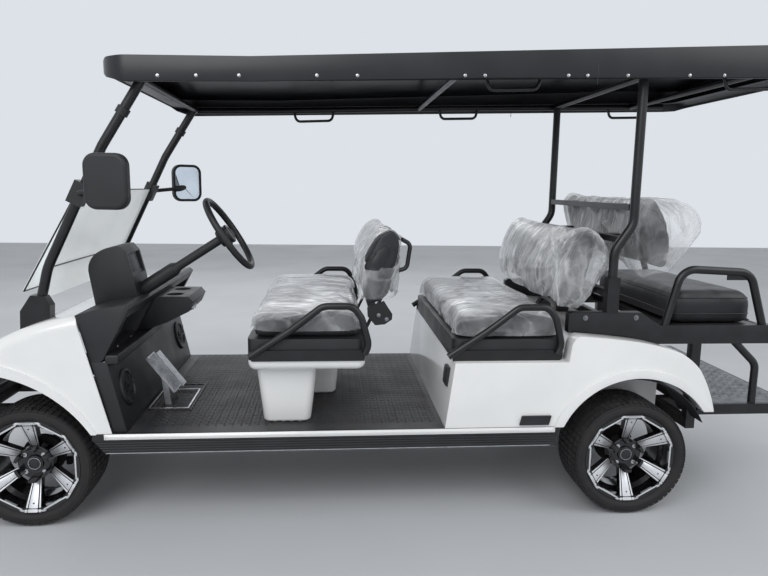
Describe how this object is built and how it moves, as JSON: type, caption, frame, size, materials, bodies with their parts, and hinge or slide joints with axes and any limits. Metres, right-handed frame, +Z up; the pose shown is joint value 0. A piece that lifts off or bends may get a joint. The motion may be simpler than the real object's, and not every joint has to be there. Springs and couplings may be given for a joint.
{
  "type": "golf cart",
  "caption": "Six-seat open golf cart with roof, folded windscreen, forward benches, rear-facing flip seat with footrest, alloy wheels and steering.",
  "frame": {"origin": "on the ground, under the middle of the bounding box", "axes": "+X towards the front of the cart, +Y towards its left, +Z up"},
  "size_m": [3.6907, 1.393, 1.9499],
  "materials": {
    "tyre": "matt rubber",
    "rim": "machined faces with black pockets",
    "chassis_paint": "semi-gloss",
    "driveline": "plain",
    "battery_case": "moulded",
    "floor_mat": "raised diamond pattern",
    "body_white": "gloss",
    "black_moulding": "fine grain",
    "seat_cover": "smooth",
    "tube_black": "satin powder coat",
    "roof_black": "satin",
    "screen": "clear",
    "lamp_lens": "clear",
    "lamp_red": "gloss",
    "pedal_metal": "ribbed",
    "tread_metal": "chequer plate"
  },
  "bodies": {
    "chassis": {"chassis_frame": "chassis_paint", "front_axle": "chassis_paint", "rear_axle": "driveline", "battery_pack": "battery_case", "floor_plate": "floor_mat", "rockers": "black_moulding", "front_bumper": "black_moulding", "front_cowl": "body_white", "headlights": "lamp_lens", "dash": "black_moulding", "kick_panel": "black_moulding", "speakers": "black_moulding", "instrument_pod": "black_moulding", "steering_column": "black_moulding", "pedals": "pedal_metal", "rear_body": "body_white", "charge_inlet": "black_moulding", "front_bench_base": "body_white", "front_seat_pan": "black_moulding", "second_seat_pan": "black_moulding", "front_cushion": "seat_cover", "second_cushion": "seat_cover", "front_backrest": "seat_cover", "second_backrest": "seat_cover", "rear_backrest": "seat_cover", "front_armrests": "tube_black", "second_armrests": "tube_black", "front_backrest_frame": "tube_black", "backrest_frame": "tube_black", "rear_struts": "tube_black", "rear_seat_frame": "tube_black", "rear_grab_bars": "tube_black", "footrest": "tread_metal", "tail_lights": "lamp_red", "roof": "roof_black", "roof_frame": "tube_black", "roof_handles": "tube_black", "front_struts": "tube_black", "windscreen_lower": "screen", "windscreen_upper": "screen", "windscreen_clips": "black_moulding", "mirrors": "black_moulding"},
    "steering": {"steering_wheel": "black_moulding"},
    "knuckle_left": {"knuckle_left": "driveline"},
    "knuckle_right": {"knuckle_right": "driveline"},
    "tie_rod": {"tie_rod": "driveline"},
    "flip_seat": {"rear_seat_plate": "tube_black", "rear_cushion": "seat_cover"},
    "wheel_front_left": {"tyre_front_left": "tyre", "rim_front_left": "rim"},
    "wheel_front_right": {"tyre_front_right": "tyre", "rim_front_right": "rim"},
    "wheel_rear_left": {"tyre_rear_left": "tyre", "rim_rear_left": "rim"},
    "wheel_rear_right": {"tyre_rear_right": "tyre", "rim_rear_right": "rim"}
  },
  "joints": [
    {"name": "steering_turn", "type": "hinge", "parent": "chassis", "child": "steering", "pos_m": [0.617, 0.27, 1.152], "axis": [-0.8387, 0, 0.5446], "range_deg": [-450, 450]},
    {"name": "knuckle_turn_left", "type": "hinge", "parent": "chassis", "child": "knuckle_left", "pos_m": [1.365, 0.395, 0.245], "axis": [0, 0, 1], "range_deg": [-28.01, 28.01]},
    {"name": "knuckle_turn_right", "type": "hinge", "parent": "chassis", "child": "knuckle_right", "pos_m": [1.365, -0.395, 0.245], "axis": [0, 0, 1], "range_deg": [-28.01, 28.01]},
    {"name": "tie_rod_slide", "type": "slide", "parent": "chassis", "child": "tie_rod", "axis": [0, 1, 0], "range_m": [-0.0395, 0.0395]},
    {"name": "wheel_spin_front_left", "type": "hinge", "parent": "knuckle_left", "child": "wheel_front_left", "pos_m": [1.365, 0.48, 0.245], "axis": [0, 1, 0], "continuous": true},
    {"name": "wheel_spin_front_right", "type": "hinge", "parent": "knuckle_right", "child": "wheel_front_right", "pos_m": [1.365, -0.48, 0.245], "axis": [0, 1, 0], "continuous": true},
    {"name": "wheel_spin_rear_left", "type": "hinge", "parent": "chassis", "child": "wheel_rear_left", "pos_m": [-1.075, 0.51, 0.245], "axis": [0, 1, 0], "continuous": true},
    {"name": "wheel_spin_rear_right", "type": "hinge", "parent": "chassis", "child": "wheel_rear_right", "pos_m": [-1.075, -0.51, 0.245], "axis": [0, 1, 0], "continuous": true},
    {"name": "rear_seat_flip", "type": "hinge", "parent": "chassis", "child": "flip_seat", "pos_m": [-1.715, 0, 0.776], "axis": [0, -1, 0], "range_deg": [0, 180]}
  ],
  "couplings": [
    {"joint": "knuckle_turn_left", "follows": "steering_turn", "ratio": 0.062222},
    {"joint": "knuckle_turn_right", "follows": "steering_turn", "ratio": 0.062222},
    {"joint": "tie_rod_slide", "follows": "steering_turn", "m_per_rad": -0.0049778}
  ]
}
